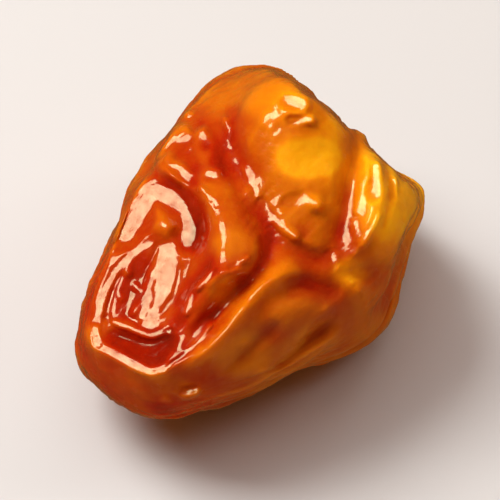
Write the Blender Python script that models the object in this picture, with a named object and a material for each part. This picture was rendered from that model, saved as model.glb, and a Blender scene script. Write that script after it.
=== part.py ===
# One ripe, half-dried date, lying on its flatter side. Metres, +Z up.
# +X runs from the narrow tip to the blunt stem end. The flat spot that it rests on is at Z = 0.
import math

import bmesh
import bpy
import numpy as np
from mathutils import Vector, noise

MM = 0.001

# Driving dimensions, before the folds are added
LENGTH = 41.0 * MM
WIDTH = 29.0 * MM
HEIGHT = 23.6 * MM
FLAT_DEPTH = 0.7 * MM  # how much of the underside the resting weight has flattened
RIM_SNAP = 0.15 * MM  # points this close to the flat spot's plane are moved onto it

# The plump fruit
GRID = 28  # quads along each edge of the starting cube
FACE_DENSITY = 0.25  # how far the grid is drawn towards the broad face, 0 is even
STEM_BLUNTNESS = 0.74  # 1 is an ellipsoid's end, lower is blunter
TIP_BLUNTNESS = 0.84
TAPER = 0.13  # how much narrower the tip half is than the stem half
SECTION_POWER = 2.25  # 2 is an elliptical section, higher is boxier

# The broad face, which carries the main folds, leans back from the front-left of the fruit
FACE_TURN = math.radians(-53)
FACE_LEAN = math.radians(50)
FACE_EDGE = (-0.12, 0.38)  # the folds fade out as the skin turns away from the face

# Flats that the fruit was pressed into while it dried: the direction that each one faces, as
# (right, up, out) of the broad face, its distance from the middle, and how soft its edge is
PRESSED_FLATS = [
    ((-0.90, 0.43, 0.05), 12.2 * MM, 1.0 * MM),    # along the upper left
    ((0.40, -0.92, 0.10), 11.9 * MM, 1.0 * MM),    # along the lower right
    ((-0.60, -0.80, 0.00), 19.3 * MM, 0.6 * MM),   # under the tip
    ((0.93, -0.36, 0.05), 13.0 * MM, 0.6 * MM),    # right, beside the stem end
    ((0.66, 0.75, 0.00), 14.9 * MM, 1.2 * MM),     # the stem end
]

# Bulges and hollows of the broad face, in millimetres: the middle of each one as (right, up) from
# the fruit's middle, its half width and half length, its turn in degrees, its height, and how
# softly it begins. At softness 1 it is a dome with a creased edge.
SWELLS = [
    ((12.6, 3.9), (4.6, 8.4), 8, 1.9, 1.0),      # lobe at the stem end
    ((-2.9, 2.6), (4.4, 6.0), 18, 1.3, 1.0),     # lobe in the middle
    ((4.2, -4.9), (3.6, 2.4), 30, 0.8, 1.0),     # small bulge below the gathered point
    ((-8.2, 9.4), (4.2, 3.8), 40, 0.6, 1.5),     # knobbly shoulder
    ((5.6, 8.8), (2.9, 2.4), 0, -0.6, 1.5),      # sunk spot in the crown
]

# The crown, a dome beside the stem end: its middle as (right, up), the height of its base over the
# fruit's middle, its half width, half length and height, its turn in degrees, and how much it
# leans back per millimetre up
CROWN = ((4.0, 8.8), 4.5, (5.8, 7.8, 5.9), 12, 0.1)
CROWN_SKIRT = 2.0  # how steeply the skin falls away outside the dome's edge
CROWN_BLEND = 1.5  # width of the soft seam where it rises out of the fruit

# The sunken cheek towards the tip: an almost flat hollow in the broad face. Its plane faces
# (right, up, out), and the oval's height is how much of the way the skin has sunk to it.
CHEEK_FACING = (-0.28, 0.34, 0.90)
CHEEK_DISTANCE = 11.3
CHEEK_OVAL = ((-9.3, -2.2), (5.4, 9.6), -22, 1.0, 0.5)

# Ridges of the broad face, and creases, whose height is negative, in millimetres: the points that
# each one runs through as (right, up), its half width, and its height
FOLDS = [
    # the long crease, from beside the crown down to the tip
    ([(-3.4, 12.6), (-2.2, 10.4), (-1.3, 8.0), (-0.2, 5.4), (1.0, 2.8), (1.3, 0.2), (0.4, -1.8),
      (-2.0, -4.4), (-4.2, -6.6), (-6.8, -9.6)], 0.9, -1.4),
    # the crease under the crown, to the gathered point
    ([(-0.4, 5.8), (1.4, 3.2), (3.4, 1.2), (5.6, -0.2), (8.2, -0.9)], 0.8, -1.0),
    # the crease between the crown and the stem-end lobe
    ([(9.9, 11.6), (9.4, 8.0), (8.9, 4.6), (8.3, 1.6), (7.8, -0.8)], 0.9, -1.2),
    # the crease under the stem-end lobe
    ([(8.6, -1.6), (11.0, -2.0), (13.3, -1.4), (15.4, -0.4)], 0.9, -0.9),
    # the crest along the stem-end lobe
    ([(10.2, 10.0), (11.8, 6.7), (11.6, 3.4), (9.9, 0.6)], 0.8, 0.6),
    # the ridge from the gathered point to the tip
    ([(5.9, -1.4), (3.4, -2.0), (1.4, -2.7), (-0.6, -4.8), (-2.3, -7.2), (-4.7, -9.5),
      (-6.8, -11.0)], 1.0, 1.2),
    # the rim round the sunken cheek
    ([(-15.0, -5.0), (-14.3, -8.0), (-11.6, -9.4), (-9.4, -10.6), (-7.8, -10.6),
      (-4.6, -8.3)], 0.8, 1.0),
    ([(-9.6, 6.8), (-12.4, 2.6), (-14.6, -1.0), (-15.4, -5.6)], 0.8, 0.6),
    # the crest round the lobe in the middle
    ([(0.1, 3.4), (0.6, 0.6), (0.2, -1.2), (-1.6, -1.8), (-3.6, -2.4), (-5.2, -4.2),
      (-6.2, -6.8)], 0.8, 0.8),
    # folds that fan out below the gathered point
    ([(2.4, -3.2), (5.2, -2.9), (8.2, -3.8)], 0.9, -0.9),
    ([(9.2, -1.6), (10.6, -4.4), (10.6, -6.6), (9.8, -8.6)], 0.9, 0.8),
    ([(7.4, -5.4), (6.2, -6.9), (4.2, -9.2), (1.4, -10.8)], 0.9, -1.0),
    ([(9.6, -8.4), (6.1, -9.2), (3.6, -10.2), (-0.6, -12.4)], 0.9, 0.7),
    ([(2.6, -6.6), (0.6, -8.4), (-1.6, -10.2)], 0.9, -0.6),
    # short folds on the shoulder
    ([(-8.2, 12.0), (-7.8, 9.2), (-5.6, 6.4)], 0.8, 0.8),
    ([(-5.4, 12.8), (-4.2, 10.2), (-3.6, 7.6)], 0.7, 0.7),
    ([(-6.8, 12.0), (-6.0, 9.4), (-4.6, 6.8)], 0.7, -0.8),
    ([(-10.4, 8.4), (-7.6, 6.0), (-4.4, 5.2)], 0.7, -0.7),
]
FOLD_RUN_OUT = 0.22  # share of a fold's length over which each end runs out
CURVE_STEPS = 6  # straight pieces between two points of a fold

# Lengthwise wrinkles all over the fruit, deeper where it is turned away from the broad face
WRINKLES_AROUND = 2.9  # higher puts more wrinkles round the fruit
WRINKLE_LENGTH = 11.0 * MM
WRINKLE_HEIGHT = 2.3 * MM
WRINKLE_ON_FACE = 0.18  # share of the height that is left on the broad face
WRINKLE_GIRTH = 9.0 * MM  # they get lower where the fruit is slimmer than this
WRINKLE_SEED = Vector((3.7, 11.2, 5.9))
CREASE_ROUNDING = 0.003  # 0 would make the bottom of each crease knife sharp
FINE_SIZE = 1.9  # the finer wrinkles between them are this many times narrower
FINE_SHARE = 0.3
WANDER = 0.6  # how far the wrinkles stray from straight
WANDER_SIZE = 0.7
WANDER_OFFSETS = [Vector((0.0, 0.0, 0.0)), Vector((17.3, 5.1, 8.6)), Vector((4.2, 41.9, 23.7))]
PRESSED_OUT = 2.6 * MM  # the wrinkles are pressed out within this height of the lowest point

# The scar at the stem end: a small pit in a puckered rim
SCAR_FACING = Vector((1.0, 0.06, -0.02)).normalized()
SCAR_RADIUS = 2.3 * MM
SCAR_DEPTH = 1.1 * MM
PUCKERS = 9
PUCKER_REACH = 8.0 * MM
PUCKER_HEIGHT = 0.45 * MM
PUCKER_UNEVENNESS = 1.4

SKIN_COLOUR = (0.50, 0.14, 0.02, 1.0)  # amber brown
SKIN_ROUGHNESS = 0.2  # a wet-looking gloss


def step(low, high, x):
    """0 below low, 1 above high, smooth between; it falls if low is above high."""
    t = np.clip((x - low) / (high - low), 0.0, 1.0)
    return t * t * (3.0 - 2.0 * t)


def bump(x):
    """1 at 0, falling smoothly to 0 at 1 and at -1."""
    return np.clip(1.0 - x * x, 0.0, None) ** 2


def face_axes():
    """The broad face's directions: right, up and out."""
    right = np.array([math.cos(FACE_TURN), math.sin(FACE_TURN), 0.0])
    out = np.array([
        math.sin(FACE_TURN) * math.cos(FACE_LEAN),
        -math.cos(FACE_TURN) * math.cos(FACE_LEAN),
        math.sin(FACE_LEAN),
    ])
    return right, np.cross(out, right), out


def plump_fruit():
    """The fruit before it dried: an egg-shaped body with a blunt stem end, from a cube's grid."""
    bm = bmesh.new()
    bmesh.ops.create_cube(bm, size=2.0)
    bmesh.ops.subdivide_edges(bm, edges=bm.edges[:], cuts=GRID - 1, use_grid_fill=True)
    right, up, out = [Vector(axis) for axis in face_axes()]
    for vert in bm.verts:
        on_sphere = Vector([math.tan(part * math.pi / 4) for part in vert.co]).normalized()
        on_sphere.z += FACE_DENSITY
        x, y, z = (on_sphere.x * right + on_sphere.y * up + on_sphere.z * out).normalized()
        around = math.hypot(y, z)
        bluntness = TIP_BLUNTNESS + (STEM_BLUNTNESS - TIP_BLUNTNESS) * (x + 1) / 2
        along = math.copysign(abs(x) ** bluntness, x)
        girth = around ** bluntness * (1 + TAPER * along - 0.5 * TAPER * along * along)
        y, z = y / around, z / around
        boxy = (abs(y) ** SECTION_POWER + abs(z) ** SECTION_POWER) ** (-1 / SECTION_POWER)
        vert.co = Vector((
            along * LENGTH / 2,
            y * boxy * girth * WIDTH / 2,
            z * boxy * girth * HEIGHT / 2,
        ))
    bm.normal_update()
    return bm


def press_flats(bm):
    axes = np.stack(face_axes())
    for facing, distance, softness in PRESSED_FLATS:
        normal = Vector(np.array(facing) @ axes).normalized()
        for vert in bm.verts:
            beyond = (vert.co.dot(normal) - distance) / softness
            vert.co -= normal * softness * math.log1p(math.exp(beyond))
    bm.normal_update()


def oval(places, centre, radii, turn):
    """0 in the middle of an oval, 1 on its edge, more outside."""
    angle = math.radians(turn)
    offset = places - np.array(centre)
    across = offset @ np.array([math.cos(angle), math.sin(angle)]) / radii[0]
    upward = offset @ np.array([-math.sin(angle), math.cos(angle)]) / radii[1]
    return across ** 2 + upward ** 2


def swell(places, centre, radii, turn, height, softness):
    """An oval bulge, or a hollow if height is negative."""
    inside = np.clip(1 - oval(places, centre, radii, turn), 0.0, None)
    return height * inside ** softness


def curve_through(points):
    """Points along a smooth curve that passes through the given ones."""
    ends = [2 * points[0] - points[1], *points, 2 * points[-1] - points[-2]]
    line = []
    for a, b, c, d in zip(ends, ends[1:], ends[2:], ends[3:]):
        for i in range(CURVE_STEPS):
            t = i / CURVE_STEPS
            line.append(0.5 * (2 * b + (c - a) * t + (2 * a - 5 * b + 4 * c - d) * t ** 2
                               + (3 * b - a - 3 * c + d) * t ** 3))
    return np.array([*line, points[-1]])


def fold(places, points, width, height):
    """A ridge, or a crease if height is negative, along a curve. It runs out at both ends."""
    line = curve_through([np.array(p) for p in points])
    starts, spans = line[:-1], np.diff(line, axis=0)
    lengths = np.linalg.norm(spans, axis=1)
    begun = np.concatenate([[0.0], np.cumsum(lengths)])
    offset = places[:, None, :] - starts
    t = np.clip((offset * spans).sum(2) / lengths ** 2, 0.0, 1.0)
    away = np.linalg.norm(offset - t[..., None] * spans, axis=2)
    rows = np.arange(len(places))
    nearest = away.argmin(1)
    along = (begun[nearest] + t[rows, nearest] * lengths[nearest]) / begun[-1]
    run_out = step(0.0, FOLD_RUN_OUT, along) * step(1.0, 1.0 - FOLD_RUN_OUT, along)
    return height * run_out * np.exp(-(away[rows, nearest] / width) ** 2)


def crown_height(places):
    """How far the top of the crown's dome stands over the fruit's middle."""
    middle, base, (half_width, half_length, height), turn, lean = CROWN
    inside = 1 - oval(places, middle, (half_width, half_length), turn)
    dome = np.where(inside > 0, np.sqrt(np.abs(inside)), CROWN_SKIRT * inside)
    return base + height * dome - lean * (places[:, 1] - middle[1])


def face_relief(points):
    """How far the lobes and folds of the broad face move each point outwards from it."""
    right, up, out = face_axes()
    places = np.stack([points @ right, points @ up], axis=1) / MM
    depth = points @ out / MM
    beyond = crown_height(places) - depth
    relief = 0.5 * (beyond + np.hypot(beyond, CROWN_BLEND))
    relief += sum(swell(places, *shape) for shape in SWELLS)
    plane = (CHEEK_DISTANCE - places @ np.array(CHEEK_FACING[:2])) / CHEEK_FACING[2]
    relief += swell(places, *CHEEK_OVAL) * (plane - depth - relief)
    relief += sum(fold(places, *shape) for shape in FOLDS)
    return relief * MM


def wander(place):
    """A smooth sideways shift that varies from place to place."""
    return Vector([noise.noise(place * WANDER_SIZE + offset) for offset in WANDER_OFFSETS])


def wrinkle(point):
    """How far the skin stands out between lengthwise creases, almost 0 in a crease."""
    around = max(math.hypot(point.y, point.z), 0.1 * MM)
    spread = WRINKLES_AROUND / around
    place = Vector((point.x / WRINKLE_LENGTH, point.y * spread, point.z * spread)) + WRINKLE_SEED
    place += WANDER * wander(place)
    rise = noise.noise(place) + FINE_SHARE * noise.noise(place * FINE_SIZE)
    return math.sqrt(rise * rise + CREASE_ROUNDING) * min(1.0, around / WRINKLE_GIRTH)


def scar_relief(points):
    """The pit at the stem end, and the skin gathered in small folds round it."""
    facing = np.array(SCAR_FACING)
    ahead = points @ facing
    sideways = points - ahead[:, None] * facing
    away = np.linalg.norm(sideways, axis=1)
    angle = np.arctan2(sideways[:, 1], sideways[:, 2])
    pit = -SCAR_DEPTH * bump(away / SCAR_RADIUS)
    fade = bump(away / PUCKER_REACH) * step(0.5, 1.3, away / SCAR_RADIUS)
    puckers = PUCKER_HEIGHT * fade * np.cos(PUCKERS * angle + PUCKER_UNEVENNESS * np.sin(2 * angle))
    return np.where(ahead > 0, pit + puckers, 0.0)


def wrinkle_skin(bm):
    """Lays the wrinkles, the scar and the broad face's folds over the plump fruit."""
    points = np.array([v.co for v in bm.verts])
    normals = np.array([v.normal for v in bm.verts])
    facing = normals @ face_axes()[2]
    on_face = step(*FACE_EDGE, facing)
    low = points[:, 2].min()
    share = 1 - (1 - WRINKLE_ON_FACE) * on_face
    share *= step(low, low + PRESSED_OUT, points[:, 2])
    rises = np.array([wrinkle(v.co) for v in bm.verts])
    height = WRINKLE_HEIGHT * share * (rises - rises.mean()) + scar_relief(points)
    points += normals * height[:, None]
    points += np.outer(face_relief(points) * on_face, face_axes()[2])
    for vert, point in zip(bm.verts, points):
        vert.co = point


def set_down(bm):
    """Cuts the flat spot, and moves the middle of the fruit's box, at the flat spot, to the origin."""
    bottom = min(v.co.z for v in bm.verts) + FLAT_DEPTH
    cut = bmesh.ops.bisect_plane(
        bm,
        geom=bm.verts[:] + bm.edges[:] + bm.faces[:],
        dist=RIM_SNAP,
        plane_co=(0, 0, bottom),
        plane_no=(0, 0, -1),
        use_snap_center=True,
        clear_outer=True,
    )
    rim = [e for e in cut["geom_cut"] if isinstance(e, bmesh.types.BMEdge)]
    bmesh.ops.contextual_create(bm, geom=rim)
    xs, ys, _ = zip(*[v.co for v in bm.verts])
    middle = Vector(((min(xs) + max(xs)) / 2, (min(ys) + max(ys)) / 2, bottom))
    bmesh.ops.translate(bm, verts=bm.verts[:], vec=-middle)


def date_skin():
    material = bpy.data.materials.new("date_skin")
    material.use_nodes = True
    shader = material.node_tree.nodes["Principled BSDF"]
    shader.inputs["Base Color"].default_value = SKIN_COLOUR
    shader.inputs["Roughness"].default_value = SKIN_ROUGHNESS
    shader.inputs["Metallic"].default_value = 0.0
    return material


def build_date(collection):
    bm = plump_fruit()
    press_flats(bm)
    wrinkle_skin(bm)
    set_down(bm)
    mesh = bpy.data.meshes.new("date")
    bm.to_mesh(mesh)
    bm.free()
    mesh.shade_smooth()
    mesh.materials.append(date_skin())
    date = bpy.data.objects.new("date", mesh)
    collection.objects.link(date)


def main():
    for old in list(bpy.data.objects):
        bpy.data.objects.remove(old)
    collection = bpy.data.collections.new("date")
    bpy.context.scene.collection.children.link(collection)
    build_date(collection)


if __name__ == "__main__":
    main()
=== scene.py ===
import math

import bpy
import numpy as np
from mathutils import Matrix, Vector, noise


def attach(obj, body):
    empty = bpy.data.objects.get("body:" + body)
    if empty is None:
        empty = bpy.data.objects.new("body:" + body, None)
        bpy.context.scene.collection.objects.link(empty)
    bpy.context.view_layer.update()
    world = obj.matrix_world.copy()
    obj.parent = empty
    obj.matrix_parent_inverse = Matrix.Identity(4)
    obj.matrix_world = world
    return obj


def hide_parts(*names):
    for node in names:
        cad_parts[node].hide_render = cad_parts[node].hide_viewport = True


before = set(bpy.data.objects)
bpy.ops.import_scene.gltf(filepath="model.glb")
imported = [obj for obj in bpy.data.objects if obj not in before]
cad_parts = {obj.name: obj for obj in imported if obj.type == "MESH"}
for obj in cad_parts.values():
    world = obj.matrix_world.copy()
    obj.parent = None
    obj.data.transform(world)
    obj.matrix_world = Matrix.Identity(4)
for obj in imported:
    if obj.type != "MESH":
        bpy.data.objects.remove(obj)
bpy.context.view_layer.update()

mm = 0.001

# the camera looks down on the broad face of the date, which carries the main folds
view = {
    "turn": math.radians(-53),
    "lean": math.radians(50),
    "fruitMiddle": Vector((0.2, 0.0, 11.3)) * mm,
    "aim": (0.15, 0.25),  # right and up of the fruit's middle, in mm
    "distance": 0.5,
    "frameWidth": 46.4 * mm,  # what the picture shows across, at the fruit
    "sensorWidth": 36,
}
viewOut = Vector((
    math.sin(view["turn"]) * math.cos(view["lean"]),
    -math.cos(view["turn"]) * math.cos(view["lean"]),
    math.sin(view["lean"]),
))
viewRight = Vector((math.cos(view["turn"]), math.sin(view["turn"]), 0.0))
viewUp = viewOut.cross(viewRight)


def addCamera():
    data = bpy.data.cameras.new("camera")
    data.sensor_width = view["sensorWidth"]
    data.lens = view["sensorWidth"] * view["distance"] / view["frameWidth"]
    camera = bpy.data.objects.new("camera", data)
    bpy.context.scene.collection.objects.link(camera)
    right, up = view["aim"]
    target = view["fruitMiddle"] + (viewRight * right + viewUp * up) * mm
    camera.location = target + viewOut * view["distance"]
    camera.rotation_euler = viewOut.to_track_quat("Z", "Y").to_euler()
    bpy.context.scene.camera = camera
    print("camera: looks down on the broad face")


def selectOnly(piece):
    bpy.ops.object.select_all(action="DESELECT")
    piece.select_set(True)
    bpy.context.view_layer.objects.active = piece


def fade(low, high, x):
    t = np.clip((x - low) / (high - low), 0.0, 1.0)
    return t * t * (3.0 - 2.0 * t)


# the skin: its fine folds are laid over the forms of the solid
skin = {
    "mergeWithin": 0.01 * mm,
    "quadAngle": math.radians(60),
    "subdivisions": 2,
    "smoothing": 6,  # rounds that take out the solid's facets
    "deepCreases": (0.15, 0.7),  # depths in mm from which a crease of the solid is rounded, and fully
    "deepSmoothing": 60,
    "deepSpread": 6,
    "sharpCreases": (0.04, 0.20),  # the same for the creases of the finished folds
    "sharpSmoothing": 24,
    "sharpSpread": 4,
    "sharpShare": 1.5,  # how strongly these are rounded, up to fully
    "footHeight": 0.3,  # below this the skin keeps the solid's height, so that it rests flat
    "faceEdge": (-0.05, 0.35),  # the drawn folds fade out as the skin turns away from the broad face
    "glintFade": (0.0, 0.2),  # and so do the glints
    "glintSlope": (0.34, -0.43),  # how a glint's flat climbs towards the camera, to the right and up
    "glintReach": (0.4, 1.2),  # a point moves by the first at most, plus the second times the half width
    "glintLimit": 8,  # how abruptly that limit sets in
    "glintBorder": (1.6, 0.6),  # where a flat begins and is full, in half widths from its middle
    "lumpPower": 1.8,  # how pointed a lump is
    "foldPower": 1.6,  # how steep a fold's sides are
    "foldRunOut": 0.2,  # the share of a fold's length in which each end runs out
    "wrinkleLength": 7.0,
    "wrinklesAround": 7.5,
    "wrinkleHeight": 0.75,
    "wrinkleOnFace": 0.20,
    "wrinkleStray": (0.45, 0.9),  # how closely the wrinkles wander, and how far
    "strayShifts": [(0, 0, 0), (31.7, 4.4, 9.1), (8.2, 77.3, 2.9)],  # one place in the noise per axis
    "wrinkleBranches": (2.1, 0.35),  # how much finer the second set is, and how strong
    "wrinkleRound": 0.002,  # keeps the valleys between wrinkles from being knife sharp
    "wrinkleCore": 0.5,  # this close to the long axis they no longer narrow
    "clusterSize": 6.5,  # the wrinkles gather in patches of this size
    "clusterShift": 40.0,
    "clusterEdge": (-0.15, 0.35),  # values of the noise where a patch begins and is full
    "clusterLow": 0.3,  # and have this share of their height between the patches
    "endCalm": 8.0,  # they flatten this close to the long axis, at both ends
    "crinkleSize": 1.5,
    "crinkleShift": 7.3,
    "crinkleHeight": 0.07,
    "crinkleOnFace": 0.6,
    "crinkleFiner": (2.3, 0.8),  # how much finer the second set is, and how strong
    "pressedOut": 2.0,  # the wrinkles are pressed out this close to the ground
    "seed": Vector((12.4, 3.3, 7.7)),
}

# lumps of the broad face, and hollows with a negative height: middle as (right, up) from the
# fruit's middle, half width and half length, turn in degrees, height; lengths in mm
lumps = [
    ((-3.3, 7.1), (0.9, 0.8), 0, 0.45),        # bean on the shoulder
    ((-7.7, 2.4), (1.2, 1.2), -10, 0.38),      # knob at the top of the cheek
    ((-10.6, -3.3), (1.3, 3.8), -21, -0.38),   # hollow between the two legs of the cheek
    ((-10.9, -1.8), (0.7, 0.6), 0, 0.20),
    ((-10.2, -3.1), (0.6, 0.7), 30, 0.20),
    ((-11.5, -4.1), (0.6, 0.6), 0, 0.18),
    ((-10.3, -5.2), (0.5, 1.1), -40, 0.20),
    ((4.9, 8.8), (4.4, 3.4), 0, -0.12),        # the sunk, see-through spot
    ((1.6, 12.1), (1.3, 1.4), 0, 0.25),        # top of the crown
    ((4.4, 13.6), (3.4, 2.6), 0, 0.80),
    ((-7.6, 9.9), (1.7, 2.9), -20, 0.95),      # shoulder
    ((-5.4, -12.6), (1.6, 1.1), 15, 0.40),     # small lumps towards the tip
    ((-7.4, -13.3), (0.8, 0.6), 0, 0.25),
    ((-0.2, -8.2), (0.8, 0.6), 0, 0.22),
    ((-10.4, -12.2), (2.6, 0.9), -25, 0.25),
    ((9.0, 5.4), (1.5, 3.4), 8, -0.35),        # hollow between the crown and the lobe
    ((6.4, -7.6), (2.4, 1.0), 35, -0.30),      # dents of the matt skin
    ((1.6, -9.6), (2.6, 0.9), 38, -0.25),
    ((10.4, -8.6), (1.8, 0.9), 60, -0.25),
]

# ridges, and creases with a negative height: points as (right, up), half width, height, in mm
folds = [
    ([(-2.6, 13.2), (-2.1, 11.8), (-1.6, 10.4), (-1.2, 9.0)], 0.5, 0.30),    # left edge of the crown
    ([(-0.7, 8.2), (0.3, 6.2), (1.5, 4.3), (2.9, 2.7), (4.1, 1.6), (5.4, 0.8), (7.4, 0.1)], 0.55, 0.40),
    ([(-3.4, 12.6), (-2.4, 10.4), (-1.6, 8.0), (-0.6, 5.4), (0.9, 2.8), (1.4, 0.2), (0.5, -1.8),
      (-2.0, -4.4), (-4.2, -6.6), (-6.8, -9.6)], 0.5, -0.32),                # the long crease
    ([(-0.6, 5.6), (1.1, 3.3), (3.0, 1.4), (5.4, -0.1), (8.0, -0.9)], 0.4, -0.12),
    ([(-0.8, 6.4), (0.2, 4.6), (1.2, 3.0), (2.2, 2.0)], 0.7, 0.7),  # fills the crease where two meet
    ([(9.9, 11.6), (9.4, 8.0), (8.9, 4.6), (8.3, 1.6), (7.8, -0.8)], 0.5, -0.4),
    ([(8.6, -1.6), (11.0, -2.0), (13.3, -1.4), (15.4, -0.4)], 0.45, -0.35),
    ([(10.0, 10.2), (11.0, 8.0), (11.4, 5.6), (11.0, 3.0), (10.4, 0.8)], 0.5, 0.25),  # lobe's crest
    ([(12.6, 8.6), (12.9, 6.0), (12.6, 3.6), (11.8, 1.4)], 0.4, -0.3),
    ([(10.9, 6.8), (10.8, 5.4), (10.6, 4.2), (10.9, 2.8)], 0.25, -0.25),
    ([(11.7, 3.6), (11.2, 2.2), (10.4, 0.8), (9.4, -0.4)], 0.32, 0.25),      # pinches
    ([(9.5, 2.9), (9.9, 1.8), (10.3, 0.8)], 0.3, 0.3),
    ([(7.8, 1.2), (7.9, 0.2), (8.1, -0.9), (8.4, -1.8)], 0.3, 0.3),
    ([(6.9, 0.4), (7.4, -0.6), (8.0, -1.6)], 0.3, -0.3),
    ([(9.0, 1.0), (8.8, -0.2), (8.8, -1.4)], 0.28, -0.3),
    ([(5.9, -1.4), (3.4, -2.0), (1.4, -2.7), (-0.6, -4.8), (-2.3, -7.2), (-4.7, -9.5),
      (-6.8, -11.0)], 0.6, 0.35),                                             # main ridge
    ([(0.6, -3.6), (-1.2, -5.2), (-2.8, -7.4), (-4.8, -9.2)], 0.3, -0.15),
    ([(-12.6, -6.0), (-11.2, -6.7), (-9.4, -7.4), (-8.2, -7.4), (-6.6, -6.4)], 0.45, 0.30),
    ([(-13.2, -7.0), (-11.5, -7.6), (-9.6, -8.2), (-8.2, -8.1), (-6.4, -7.1)], 0.8, -0.50),  # foot
    ([(-11.4, -0.8), (-12.3, -3.0), (-12.8, -5.2), (-12.8, -7.0)], 0.55, -0.30),
    ([(-11.0, 7.4), (-12.9, 3.0), (-14.0, 0.0), (-15.1, -3.4), (-15.3, -6.4)], 0.4, 0.30),
    ([(-10.4, 6.9), (-12.4, 2.4), (-13.5, -0.6), (-14.4, -4.2)], 0.32, -0.25),  # inside the left rim
    ([(-8.6, 2.1), (-10.2, 1.5), (-11.6, 0.5), (-12.8, -0.4)], 0.3, -0.25),   # from the knob outwards
    ([(-6.8, 1.7), (-6.0, 0.8), (-5.3, -0.4)], 0.3, -0.22),
    ([(-8.2, 1.4), (-8.5, 0.0), (-9.4, -1.8), (-9.9, -3.6)], 0.3, -0.22),
    ([(-4.4, 1.4), (-5.2, -0.8), (-5.9, -3.2), (-7.2, -5.8)], 0.45, -0.35),   # right edge of the cheek
    ([(-6.1, -0.4), (-6.4, -2.4), (-7.1, -4.4), (-8.1, -6.2)], 0.38, -0.25),
    ([(-11.4, -5.2), (-10.6, -6.0), (-9.7, -6.6)], 0.35, -0.20),
    ([(0.3, 3.2), (0.75, 1.2), (0.7, -0.6), (0.0, -1.7), (-1.4, -1.6), (-3.5, -2.2), (-5.1, -4.2),
      (-6.1, -6.6)], 0.45, 0.30),                                             # middle lobe's crest
    ([(-6.6, 11.9), (-7.8, 10.4), (-8.3, 9.0), (-7.2, 7.7), (-5.3, 6.5)], 0.6, 0.40),  # shoulder
    ([(-5.9, 13.0), (-5.0, 11.9), (-4.3, 10.8), (-3.9, 9.4)], 0.45, 0.35),
    ([(-6.7, 8.7), (-5.6, 9.2), (-4.8, 9.8)], 0.35, 0.25),
    ([(-4.6, 6.2), (-3.8, 5.1), (-2.9, 4.2)], 0.35, 0.30),
    ([(-6.9, 10.8), (-6.2, 10.0), (-5.2, 8.0), (-4.4, 6.8)], 0.35, -0.35),
    ([(-9.2, 7.4), (-7.0, 6.0), (-5.2, 4.9), (-3.6, 3.8)], 0.4, -0.30),
    ([(2.6, -2.6), (4.6, -2.6), (7.0, -3.5), (8.8, -3.4)], 0.6, -0.45),       # fan under the point
    ([(8.4, -1.8), (9.6, -2.8), (10.5, -4.5), (10.9, -6.6), (10.1, -8.4)], 0.55, 0.50),
    ([(12.6, -1.8), (12.4, -4.1), (12.0, -6.4)], 0.7, -0.50),
    ([(7.8, -4.4), (6.6, -5.6), (5.2, -7.0), (4.2, -8.4)], 0.5, 0.45),
    ([(8.6, -4.8), (7.6, -6.0), (5.8, -7.6), (3.9, -9.4), (1.2, -11.0)], 0.45, -0.50),
    ([(9.6, -7.4), (7.6, -7.9), (5.1, -9.0), (2.9, -10.7), (-0.6, -12.4), (-5.0, -13.6)], 0.6, 0.45),
    ([(3.4, -6.0), (1.4, -7.4), (-0.8, -9.4), (-2.6, -11.2)], 0.5, -0.35),
    ([(13.8, -2.6), (13.4, -5.0), (12.6, -7.4)], 0.4, 0.35),
]

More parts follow.
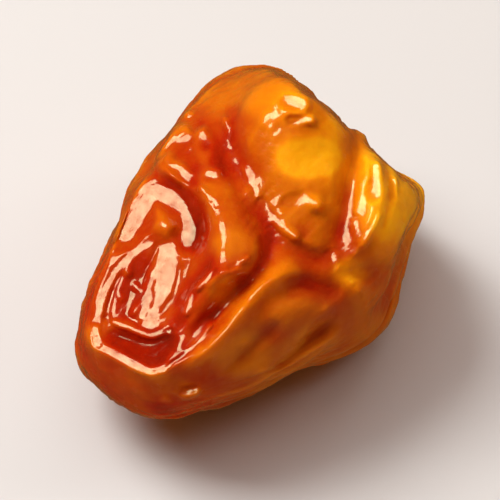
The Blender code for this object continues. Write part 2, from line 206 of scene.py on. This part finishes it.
# places where the tight skin lies flat enough to mirror the window: points as (right, up), half
# width and how far the flat stands proud, in mm
glints = [
    ([(-11.3, 1.8), (-10.4, 3.2), (-9.6, 4.6), (-8.8, 5.7), (-7.2, 5.0), (-5.9, 3.9),
      (-5.2, 2.6), (-5.4, 1.3)], 1.25, 0.0),                               # roof of the cheek
    ([(-9.0, 1.0), (-11.4, -0.9), (-12.9, -3.3), (-13.7, -6.2), (-13.9, -7.8)], 0.36, 0.0),  # left leg
    ([(-7.3, 0.3), (-7.4, -1.6), (-7.7, -3.2)], 0.85, 0.0),                # right leg
    ([(-7.7, -3.4), (-8.3, -4.9), (-8.9, -6.3)], 0.45, 0.0),
    ([(-13.9, -7.6), (-13.7, -8.4), (-12.6, -8.9), (-11.1, -9.8), (-8.9, -10.7),
      (-7.7, -10.5)], 0.42, 0.1),                                          # rim of the cheek
    ([(-13.9, -6.9), (-13.8, -7.6), (-13.7, -8.2)], 0.4, 0.0),             # corner of the rim
    ([(-7.2, -10.2), (-5.8, -9.2), (-4.5, -8.0), (-3.4, -6.5)], 0.2, 0.05),
    ([(-12.2, -6.3), (-10.5, -6.9), (-8.8, -7.5), (-7.0, -7.0)], 0.25, 0.05),
    ([(-5.0, -3.8), (-5.6, -5.4)], 0.3, 0.05),
    ([(-4.6, -3.2), (-3.0, -1.7)], 0.25, 0.05),
    ([(-0.1, -0.5), (-1.6, -1.3)], 0.2, 0.05),                             # middle lobe
    ([(-6.0, 11.0), (-6.7, 9.9), (-7.1, 8.9)], 0.9, 0.1),                  # shoulder
    ([(-7.2, 8.6), (-6.4, 7.6), (-5.2, 6.7)], 0.6, 0.1),
    ([(-5.5, 12.7), (-4.7, 11.6)], 0.5, 0.1),
    ([(-4.3, 11.2), (-4.0, 9.9)], 0.45, 0.1),
    ([(-6.4, 8.9), (-5.2, 9.5)], 0.25, 0.05),
    ([(-3.5, 7.2), (-3.1, 7.1)], 0.6, 0.0),
    ([(-4.3, 5.9), (-2.9, 4.3)], 0.25, 0.05),
    ([(-2.1, 12.2), (-1.7, 11.0), (-1.3, 9.8)], 0.32, 0.05),               # edge of the crown
    ([(-0.3, 7.7), (0.4, 6.0), (1.1, 4.7)], 0.3, 0.05),
    ([(1.2, 4.5), (2.2, 3.3), (3.0, 2.4), (4.2, 1.5)], 0.42, 0.05),
    ([(3.7, 13.9), (4.9, 13.6)], 0.7, 0.1),                                # top of the crown
    ([(3.9, 12.0), (5.7, 12.1)], 0.38, 0.0),
    ([(3.7, 4.5), (4.9, 4.9), (6.2, 4.4)], 0.55, 0.1),
    ([(11.7, 7.8), (11.6, 6.5), (11.4, 5.2)], 0.55, 0.0),                  # lobe at the stem end
    ([(10.5, 5.0), (10.0, 3.7)], 0.35, 0.05),
    ([(9.6, 2.8), (10.0, 1.8), (10.4, 0.9)], 0.32, 0.05),
    ([(10.5, 1.0), (11.1, 2.2), (11.7, 3.4)], 0.3, 0.05),
    ([(13.3, 6.6), (13.2, 5.2)], 0.35, 0.0),
    ([(8.4, 1.4), (8.8, 1.2)], 0.25, 0.05),
    ([(-5.7, -12.6), (-4.9, -12.4)], 0.5, 0.0),                            # near the tip
    ([(9.4, 0.3), (9.6, 0.0)], 0.25, 0.05),
]


def ovalShare(places, middle, radii, turn):
    # 1 in the middle of an oval, 0 at its edge and outside
    angle = math.radians(turn)
    offset = places - np.array(middle)
    across = offset @ np.array([math.cos(angle), math.sin(angle)]) / radii[0]
    upward = offset @ np.array([-math.sin(angle), math.cos(angle)]) / radii[1]
    return np.clip(1 - across ** 2 - upward ** 2, 0.0, None)


def lumpHeight(places, middle, radii, turn, height):
    return height * ovalShare(places, middle, radii, turn) ** skin["lumpPower"]


def smoothLine(points, pieces=6):
    # a curve through the points, in short straight pieces
    points = [np.array(p) for p in points]
    ends = [2 * points[0] - points[1], *points, 2 * points[-1] - points[-2]]
    line = []
    for a, b, c, d in zip(ends, ends[1:], ends[2:], ends[3:]):
        for i in range(pieces):
            t = i / pieces
            line.append(0.5 * (2 * b + (c - a) * t + (2 * a - 5 * b + 4 * c - d) * t ** 2
                               + (3 * b - a - 3 * c + d) * t ** 3))
    return np.array([*line, points[-1]])


def besideLine(places, points, reach):
    # which places lie near a curve, how far from it, and how far along it, 0 to 1
    line = smoothLine(points)
    low, high = line.min(0) - reach, line.max(0) + reach
    near = np.nonzero(((places > low) & (places < high)).all(1))[0]
    starts, spans = line[:-1], np.diff(line, axis=0)
    lengths = np.linalg.norm(spans, axis=1)
    begun = np.concatenate([[0.0], np.cumsum(lengths)])
    offset = places[near][:, None, :] - starts
    t = np.clip((offset * spans).sum(2) / lengths ** 2, 0.0, 1.0)
    away = np.linalg.norm(offset - t[..., None] * spans, axis=2)
    rows = np.arange(len(near))
    nearest = away.argmin(1)
    along = (begun[nearest] + t[rows, nearest] * lengths[nearest]) / begun[-1]
    return near, away[rows, nearest], along


def foldHeight(places, points, width, height):
    near, away, along = besideLine(places, points, 4 * width)
    runOut = fade(0.0, skin["foldRunOut"], along) * fade(1.0, 1 - skin["foldRunOut"], along)
    result = np.zeros(len(places))
    result[near] = height * runOut * np.exp(-(away / width) ** skin["foldPower"])
    return result


def flatten(places, depths, inSight, points, halfWidth, lift):
    # presses a strip to the tilt that mirrors the window
    near, away, _ = besideLine(places, points, 2 * halfWidth)
    begins, full = skin["glintBorder"]
    weight = fade(begins * halfWidth, full * halfWidth, away) * inSight[near]
    level = depths[near] - places[near] @ np.array(skin["glintSlope"])
    change = (weight * level).sum() / weight.sum() + lift - level
    least, widening = skin["glintReach"]
    most = least + widening * halfWidth
    limit = skin["glintLimit"]
    depths[near] += weight * change / (1 + (change / most) ** limit) ** (1 / limit)


def meshPoints(piece):
    points = np.empty(len(piece.data.vertices) * 3)
    piece.data.vertices.foreach_get("co", points)
    normals = np.empty(len(points))
    piece.data.vertices.foreach_get("normal", normals)
    return points.reshape(-1, 3), normals.reshape(-1, 3)


def setPoints(piece, points):
    piece.data.vertices.foreach_set("co", points.ravel())
    piece.data.update()


def evenedOut(piece, values, rounds):
    # each point's values, averaged with its neighbours' a number of times
    edges = np.empty(len(piece.data.edges) * 2, dtype=np.int32)
    piece.data.edges.foreach_get("vertices", edges)
    a, b = edges.reshape(-1, 2).T
    count = len(values)
    links = np.bincount(a, minlength=count) + np.bincount(b, minlength=count)
    result = values.copy()
    for _ in range(rounds):
        for column in result.T:
            total = np.bincount(a, column[b], count) + np.bincount(b, column[a], count)
            column[:] = 0.5 * column + 0.5 * total / links
    return result


def onBroadFace(points):
    # (right, up) and height towards the camera of each point, from the fruit's middle, in mm
    local = (points - np.array(view["fruitMiddle"])) / mm
    places = np.stack([local @ np.array(viewRight), local @ np.array(viewUp)], axis=1)
    return places, local @ np.array(viewOut)


def noiseAt(places):
    return np.array([noise.noise(p) for p in places.tolist()])


def fineWrinkles(points):
    # lengthwise wrinkles that run together at both ends
    around = np.maximum(np.hypot(points[:, 1], points[:, 2]), skin["wrinkleCore"])
    spread = skin["wrinklesAround"] / around
    places = np.stack([points[:, 0] / skin["wrinkleLength"], points[:, 1] * spread,
                       points[:, 2] * spread], axis=1)
    places += np.array(skin["seed"])
    closely, far = skin["wrinkleStray"]
    strays = np.stack([noiseAt(places * closely + np.array(shift)) for shift in skin["strayShifts"]],
                      axis=1)
    places = places + far * strays
    finer, strength = skin["wrinkleBranches"]
    rise = noiseAt(places) + strength * noiseAt(places * finer)
    clusters = fade(*skin["clusterEdge"], noiseAt(points / skin["clusterSize"] + skin["clusterShift"]))
    height = skin["clusterLow"] + (1 - skin["clusterLow"]) * clusters
    wrinkle = np.sqrt(rise ** 2 + skin["wrinkleRound"])
    return (wrinkle - wrinkle.mean()) * height * np.minimum(1.0, around / skin["endCalm"])


def crinkles(points):
    places = points / skin["crinkleSize"] + skin["crinkleShift"]
    finer, strength = skin["crinkleFiner"]
    return noiseAt(places) + strength * noiseAt(places * finer)


def copyOfSolid():
    # the node's loose triangles, merged, joined into quads and subdivided
    piece = bpy.data.objects.new("dateSkin", bpy.data.objects["date"].data.copy())
    bpy.context.scene.collection.objects.link(piece)
    selectOnly(piece)
    bpy.ops.object.mode_set(mode="EDIT")
    bpy.ops.mesh.select_all(action="SELECT")
    bpy.ops.mesh.remove_doubles(threshold=skin["mergeWithin"])
    bpy.ops.mesh.tris_convert_to_quads(face_threshold=skin["quadAngle"],
                                       shape_threshold=skin["quadAngle"])
    bpy.ops.object.mode_set(mode="OBJECT")
    modifier = piece.modifiers.new("smooth", "SUBSURF")
    modifier.levels = modifier.render_levels = skin["subdivisions"]
    bpy.ops.object.modifier_apply(modifier=modifier.name)
    piece.data.shade_smooth()
    return piece


def depthBelow(points, normals, rounded):
    # how far each point lies below the rounded skin, in mm
    return ((rounded - points) * normals).sum(1) / mm


def smoothSolid(piece):
    # takes out the solid's facets, and rounds the floors of its deepest creases
    points, normals = meshPoints(piece)
    smooth = evenedOut(piece, points, skin["smoothing"])
    rounded = evenedOut(piece, points, skin["deepSmoothing"])
    deep = fade(*skin["deepCreases"], depthBelow(points, normals, rounded))
    deep = evenedOut(piece, deep[:, None], skin["deepSpread"])
    smooth += (rounded - smooth) * deep
    smooth[:, 2] = np.where(points[:, 2] < skin["footHeight"] * mm, points[:, 2], smooth[:, 2])
    setPoints(piece, smooth)


def roundCreases(piece):
    # takes the ragged steps out of the floors of the sharpest creases
    points, normals = meshPoints(piece)
    rounded = evenedOut(piece, points, skin["sharpSmoothing"])
    sharp = fade(*skin["sharpCreases"], depthBelow(points, normals, rounded))
    sharp = evenedOut(piece, sharp[:, None], skin["sharpSpread"])
    setPoints(piece, points + (rounded - points) * np.minimum(1.0, skin["sharpShare"] * sharp))


def addSkin():
    piece = copyOfSolid()
    smoothSolid(piece)
    points, normals = meshPoints(piece)
    local = (points - np.array(view["fruitMiddle"])) / mm
    facing = normals @ np.array(viewOut)
    onFace = fade(*skin["faceEdge"], facing)
    inSight = fade(*skin["glintFade"], facing)
    pressed = fade(0.0, skin["pressedOut"], points[:, 2] / mm)
    places, _ = onBroadFace(points)
    relief = sum(lumpHeight(places, *lump) for lump in lumps)
    relief = relief + sum(foldHeight(places, *fold) for fold in folds)
    wrinkled = 1 - (1 - skin["wrinkleOnFace"]) * onFace
    wrinkles = fineWrinkles(local) * skin["wrinkleHeight"] * wrinkled
    points = points + normals * (wrinkles * pressed * mm)[:, None]
    setPoints(piece, points + np.outer(relief * onFace * pressed * mm, np.array(viewOut)))
    print("skin: folds and wrinkles laid")

    points, _ = meshPoints(piece)
    places, depths = onBroadFace(points)
    flat = depths.copy()
    for glint in glints:
        flatten(places, flat, inSight, *glint)
    setPoints(piece, points + np.outer((flat - depths) * mm, np.array(viewOut)))
    roundCreases(piece)
    print("skin: glints flattened, creases rounded")

    points, normals = meshPoints(piece)
    crinkled = (1 - (1 - skin["crinkleOnFace"]) * onFace) * pressed * skin["crinkleHeight"]
    points += normals * (crinkles(local) * crinkled * mm)[:, None]
    points[:, 2] = np.maximum(points[:, 2], 0.0)
    setPoints(piece, points)
    print("skin:", len(piece.data.polygons) * 2, "triangles")
    return piece


# where the skin is lighter, or redder with a negative tone, some of it painted light or shade as marked:
# middle as (right, up), half width and half length in mm, turn in degrees, tone
tones = [
    ((4.0, 9.5), (6.5, 8.5), 10, 0.18),       # crown
    ((-0.2, 9.8), (2.6, 4.4), 15, -0.16),
    # partly the thin blister's own yellow, partly painted light shining through it
    ((5.3, 8.6), (3.5, 2.5), 0, 0.45),        # the see-through spot
    ((8.6, 5.4), (1.8, 3.6), 8, 0.04),
    ((7.6, 9.8), (2.2, 4.0), 10, 0.12),
    ((13.0, 6.2), (4.8, 6.6), 8, 0.38),       # lobe at the stem end
    ((-3.3, 9.6), (1.0, 4.4), 18, -0.10),
    ((-1.3, 8.2), (1.0, 2.6), 15, 0.20),
    ((9.2, -1.7), (1.8, 1.6), 0, 0.38),
    ((-6.6, 9.0), (4.5, 5.0), 30, -0.03),     # shoulder
    ((-9.2, -8.6), (5.0, 2.4), -6, -0.26),    # foot of the cheek
    ((-10.6, -3.4), (2.0, 4.4), -21, -0.12),
    ((-4.6, -4.0), (1.8, 5.0), -30, -0.16),
    ((-2.5, 1.5), (3.6, 5.0), 15, -0.14),     # middle lobe
    ((-1.6, 0.8), (2.0, 1.7), 20, 0.18),
    ((-2.2, -3.4), (1.8, 1.8), 0, 0.20),
    ((0.0, -5.0), (2.6, 8.8), -40, 0.12),     # main ridge
    ((-2.9, -7.2), (1.6, 2.4), -40, -0.05),
    ((8.0, -5.4), (6.5, 4.4), 20, -0.02),     # matt skin at the lower right
    ((3.6, -9.6), (9.0, 2.2), 32, 0.16),
    ((-0.6, -9.2), (3.4, 2.4), 20, 0.18),
    ((-5.0, -13.4), (5.0, 2.0), -30, 0.10),
    # painted shade: the tip's lower edge is darkened as its underside lies in shade
    ((-5.2, -15.2), (6.0, 3.0), 0, -0.20),    # lower edge of the tip
]
skinTone = {
    "middle": 0.50,
    "tipToStem": 0.18,  # how much lighter the stem end is than the tip
    "ends": (-16.0, 14.0),  # where that begins and ends along the fruit, in mm
    "faceEdge": (-0.1, 0.3),  # the spots of the list above fade out as the skin turns away
    "spotEdge": 0.8,  # how soft their borders are, 0 to 1
    "patches": 0.14,
    "patchSizes": (9.0, 3.4),
    "patchShifts": (3.1, 9.7),
    "smallPatches": 0.6,  # how strong the small patches are beside the large ones
    "creaseRounds": (12, 120),  # rounds of smoothing that show narrow creases and wide ones
    "narrowCreaseShade": (0.01, 0.16),  # depths in mm from which a crease gets painted shade, deeper red, and fully
    "wideCreaseShade": (0.05, 0.6),
    "narrowShare": 0.4,
    # painted shade: how much darker red the creases are painted
    "crease": 0.38,
    # painted light: raised ridges are made lighter, as by light shining through their thin skin
    "ridgeHeight": (0.02, 0.25),
    "ridge": 0.16,
    "scar": 0.22,  # the dry spot where the stem sat
    "scarMiddle": (1.2, -0.4),  # its place across and up from the fruit's middle, in mm
    "scarRadii": (4.0, 1.5),
    "scarFrom": 10.0,  # it lies past this place along the fruit
    "scarMatt": 0.8,
    "mattSpot": ((5.0, -9.5), (10.0, 6.0), 25),  # the duller skin at the lower right
    "dullSpot": ((-10.0, -8.4), (3.4, 1.2), -6),  # foot of the cheek, which mirrors less
    "mattEdge": 0.6,
    "evening": 4,  # rounds that soften the tone from point to point
}


def addAttribute(piece, name, values):
    attribute = piece.data.attributes.new(name, "FLOAT", "POINT")
    attribute.data.foreach_set("value", values.astype(np.float32))


def paintSkin(piece):
    points, normals = meshPoints(piece)
    local = (points - np.array(view["fruitMiddle"])) / mm
    places, _ = onBroadFace(points)
    onFace = fade(*skinTone["faceEdge"], normals @ np.array(viewOut))
    # painted shade: the creases are darkened by how deep they lie below the smoothed skin
    narrow, wide = [depthBelow(points, normals, evenedOut(piece, points, rounds))
                    for rounds in skinTone["creaseRounds"]]
    share = skinTone["narrowShare"]
    crease = (fade(*skinTone["narrowCreaseShade"], narrow) * share
              + fade(*skinTone["wideCreaseShade"], wide) * (1 - share))
    # painted light: the ridges are made lighter by how far they stand above the smoothed skin
    ridge = fade(*skinTone["ridgeHeight"], -wide)

    toneAndPaintedLight = skinTone["middle"] + skinTone["tipToStem"] * (fade(*skinTone["ends"], local[:, 0]) - 0.5)
    large, small = [noiseAt(local / size + shift)
                    for size, shift in zip(skinTone["patchSizes"], skinTone["patchShifts"])]
    toneAndPaintedLight += skinTone["patches"] * (large + skinTone["smallPatches"] * small)
    for middle, radii, turn, change in tones:
        inSpot = fade(0.0, skinTone["spotEdge"], ovalShare(places, middle, radii, turn))
        toneAndPaintedLight += onFace * change * inSpot
    across, up = skinTone["scarMiddle"]
    scar = fade(*skinTone["scarRadii"], np.hypot(local[:, 1] - across, local[:, 2] - up))
    scar = scar * (local[:, 0] > skinTone["scarFrom"])
    # painted light on the ridges and painted shade in the creases, beside the stem scar's own dry colour
    toneAndPaintedLight += skinTone["ridge"] * ridge - skinTone["crease"] * crease - skinTone["scar"] * scar
    toneAndPaintedLight = evenedOut(piece, toneAndPaintedLight[:, None], skinTone["evening"])[:, 0]

    matt, dull = [onFace * fade(0.0, skinTone["mattEdge"], ovalShare(places, *skinTone[spot]))
                  for spot in ("mattSpot", "dullSpot")]
    matt = np.maximum(matt, skinTone["scarMatt"] * scar)
    addAttribute(piece, "toneAndPaintedLight", np.clip(toneAndPaintedLight, 0.0, 1.0))
    addAttribute(piece, "matt", matt)
    addAttribute(piece, "dull", np.maximum(matt, dull))
    print("tones:", round(float(toneAndPaintedLight.min()), 2), "to", round(float(toneAndPaintedLight.max()), 2))


# the skin's colour at each tone
colours = [
    (0.00, (0.085, 0.0025, 0.0004)),
    (0.16, (0.230, 0.0050, 0.0005)),
    (0.32, (0.420, 0.0150, 0.0006)),
    (0.48, (0.515, 0.0640, 0.0014)),
    (0.64, (0.640, 0.1440, 0.0018)),
    (0.82, (0.810, 0.2300, 0.0022)),
    (1.00, (1.000, 0.4200, 0.0050)),
]

# the finish; of its specks: how fine they are, of how many sizes, how strong, and the lowest value
finish = {
    "mottle": (420, 3.0, 0.16, -0.08),
    "blush": (1500, 2.0, 0.08, -0.04),
    "roughness": (700, 3.0, 0.16, 0.18),
    "wetness": (1300, 2.0, 1.7, 0.05),
    "mattColour": (0.30, 0.085, 0.014, 1.0),  # brown of the matt skin
    "mattBrown": 0.3,  # how much of it shows
    "mattRoughness": 0.22,
    "dullLoss": 0.7,  # how much of the wet coat is missing where the skin is dull
    "coatRoughness": 0.08,
    "coatIor": 1.5,
    "skinIor": 1.15,
    "lightUnderSkin": 0.35,
    "lightSpread": (1.0, 0.25, 0.05),
    "lightDepth": 2.5 * mm,
    "creasing": (900, 4.0, 0.55),  # how fine, of how many sizes, how rough
    "pores": (2600, 2.0, 0.5),
    "bumpStrength": 0.5,
    "bumpHeight": 0.10 * mm,
}


def skinMaterial():
    material = bpy.data.materials.new("glossyDateSkin")
    material.use_nodes = True
    nodes, links = material.node_tree.nodes, material.node_tree.links
    shader = nodes["Principled BSDF"]
    place = nodes.new("ShaderNodeTexCoord").outputs["Object"]

    def attribute(name):
        node = nodes.new("ShaderNodeAttribute")
        node.attribute_name = name
        return node.outputs["Fac"]

    def speckle(scale, detail, roughness=0.5):
        node = nodes.new("ShaderNodeTexNoise")
        node.inputs["Scale"].default_value = scale
        node.inputs["Detail"].default_value = detail
        node.inputs["Roughness"].default_value = roughness
        links.new(place, node.inputs["Vector"])
        return node.outputs["Fac"]

    def mathNode(operation, *values):
        node = nodes.new("ShaderNodeMath")
        node.operation = operation
        for socket, value in zip(node.inputs, values):
            if isinstance(value, (int, float)):
                socket.default_value = value
            else:
                links.new(value, socket)
        return node.outputs[0]

    def specks(name):
        scale, detail, strength, start = finish[name]
        return mathNode("MULTIPLY_ADD", speckle(scale, detail), strength, start)

    # colour: deep red at the tip, with painted shade making the creases and the tip's underside deeper
    # red, amber to honey on the plump parts
    toneAndPaintedLight = mathNode("ADD", mathNode("ADD", attribute("toneAndPaintedLight"), specks("mottle")), specks("blush"))
    ramp = nodes.new("ShaderNodeValToRGB")
    stops = ramp.color_ramp.elements
    while len(stops) < len(colours):
        stops.new(0.5)
    for stop, (position, colour) in zip(stops, colours):
        stop.position = position
        stop.color = (*colour, 1.0)
    links.new(toneAndPaintedLight, ramp.inputs["Fac"])
    matt = attribute("matt")
    mix = nodes.new("ShaderNodeMix")
    mix.data_type = "RGBA"
    mix.inputs["B"].default_value = finish["mattColour"]
    links.new(mathNode("MULTIPLY", matt, finish["mattBrown"]), mix.inputs["Factor"])
    links.new(ramp.outputs["Color"], mix.inputs["A"])
    links.new(mix.outputs["Result"], shader.inputs["Base Color"])

    # gloss: wet on the folds, less so where the skin is matt or dull
    rough = mathNode("MULTIPLY_ADD", matt, finish["mattRoughness"], specks("roughness"))
    links.new(rough, shader.inputs["Roughness"])
    wet = mathNode("MULTIPLY_ADD", attribute("dull"), -finish["dullLoss"], specks("wetness"))
    links.new(wet, shader.inputs["Coat Weight"])
    shader.inputs["Coat Roughness"].default_value = finish["coatRoughness"]
    shader.inputs["Coat IOR"].default_value = finish["coatIor"]
    shader.inputs["IOR"].default_value = finish["skinIor"]
    shader.inputs["Subsurface Weight"].default_value = finish["lightUnderSkin"]
    shader.inputs["Subsurface Radius"].default_value = finish["lightSpread"]
    shader.inputs["Subsurface Scale"].default_value = finish["lightDepth"]

    # fine crinkles of the dried skin
    bump = nodes.new("ShaderNodeBump")
    bump.inputs["Strength"].default_value = finish["bumpStrength"]
    bump.inputs["Distance"].default_value = finish["bumpHeight"]
    height = mathNode("ADD", speckle(*finish["creasing"]), speckle(*finish["pores"]))
    links.new(height, bump.inputs["Height"])
    links.new(bump.outputs["Normal"], shader.inputs["Normal"])
    print("material: glossy date skin")
    return material


studio = {
    "window": {"toward": (-0.52, 0.66, 0.53), "distance": 0.5, "size": (0.20, 0.26), "power": 1.9,
               "colour": (0.95, 1.0, 0.60), "mirrored": True},
    "glow": {"toward": (-0.52, 0.66, 0.53), "distance": 0.5, "size": (0.24, 0.30), "power": 2.7,
             "colour": (1.0, 0.96, 0.90), "mirrored": False},
    "side": {"toward": (0.70, 0.50, 0.50), "distance": 0.5, "size": (0.12, 0.20), "power": 0.25,
             "colour": (1.0, 0.97, 0.92), "mirrored": False},
    "ceiling": {"toward": (0.0, 0.64, 0.77), "distance": 0.8, "size": (0.8, 0.8), "power": 2.4,
                "colour": (1.0, 1.0, 1.0), "mirrored": False},
    "sky": 0.19,
    "skyColour": (1.0, 0.42, 0.12),  # amber, because the skin mirrors it at its edges
    "floorSize": 3.0,
    "floorColour": (0.66, 0.68, 0.70),
    "floorRoughness": 0.8,
    "floorSheen": 0.1,
}


def addLight(name, toward, distance, size, power, colour, mirrored):
    data = bpy.data.lights.new(name, "AREA")
    data.shape = "RECTANGLE"
    data.size, data.size_y = size
    data.energy = power
    data.color = colour
    light = bpy.data.objects.new(name, data)
    bpy.context.scene.collection.objects.link(light)
    right, up, out = toward
    direction = (viewRight * right + viewUp * up + viewOut * out).normalized()
    light.location = view["fruitMiddle"] + direction * distance
    light.rotation_euler = direction.to_track_quat("Z", "Y").to_euler()
    light.visible_glossy = mirrored  # the window is only mirrored, and the others only light
    light.visible_diffuse = not mirrored


def addStudio():
    bpy.ops.object.select_all(action="DESELECT")
    bpy.ops.mesh.primitive_plane_add(size=studio["floorSize"], location=(0, 0, 0))
    floor = bpy.context.object
    floor.name = "floor"
    paint = bpy.data.materials.new("paleFloor")
    paint.use_nodes = True
    shader = paint.node_tree.nodes["Principled BSDF"]
    shader.inputs["Base Color"].default_value = (*studio["floorColour"], 1.0)
    shader.inputs["Roughness"].default_value = studio["floorRoughness"]
    shader.inputs["Specular IOR Level"].default_value = studio["floorSheen"]
    floor.data.materials.append(paint)
    floor.visible_glossy = False  # the skin mirrors the window and the sky, not the pale floor
    for name in ("window", "glow", "side", "ceiling"):
        addLight(name, **studio[name])
    world = bpy.data.worlds.new("studio")
    world.use_nodes = True
    world.node_tree.nodes["Background"].inputs["Color"].default_value = (*studio["skyColour"], 1.0)
    world.node_tree.nodes["Background"].inputs["Strength"].default_value = studio["sky"]
    bpy.context.scene.world = world
    bpy.context.scene.view_settings.view_transform = "Standard"
    print("studio: pale floor, four lights and a weak amber sky")


addCamera()
dateSkin = addSkin()
paintSkin(dateSkin)
dateSkin.data.materials.clear()
dateSkin.data.materials.append(skinMaterial())
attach(dateSkin, "root")
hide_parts("date")
addStudio()
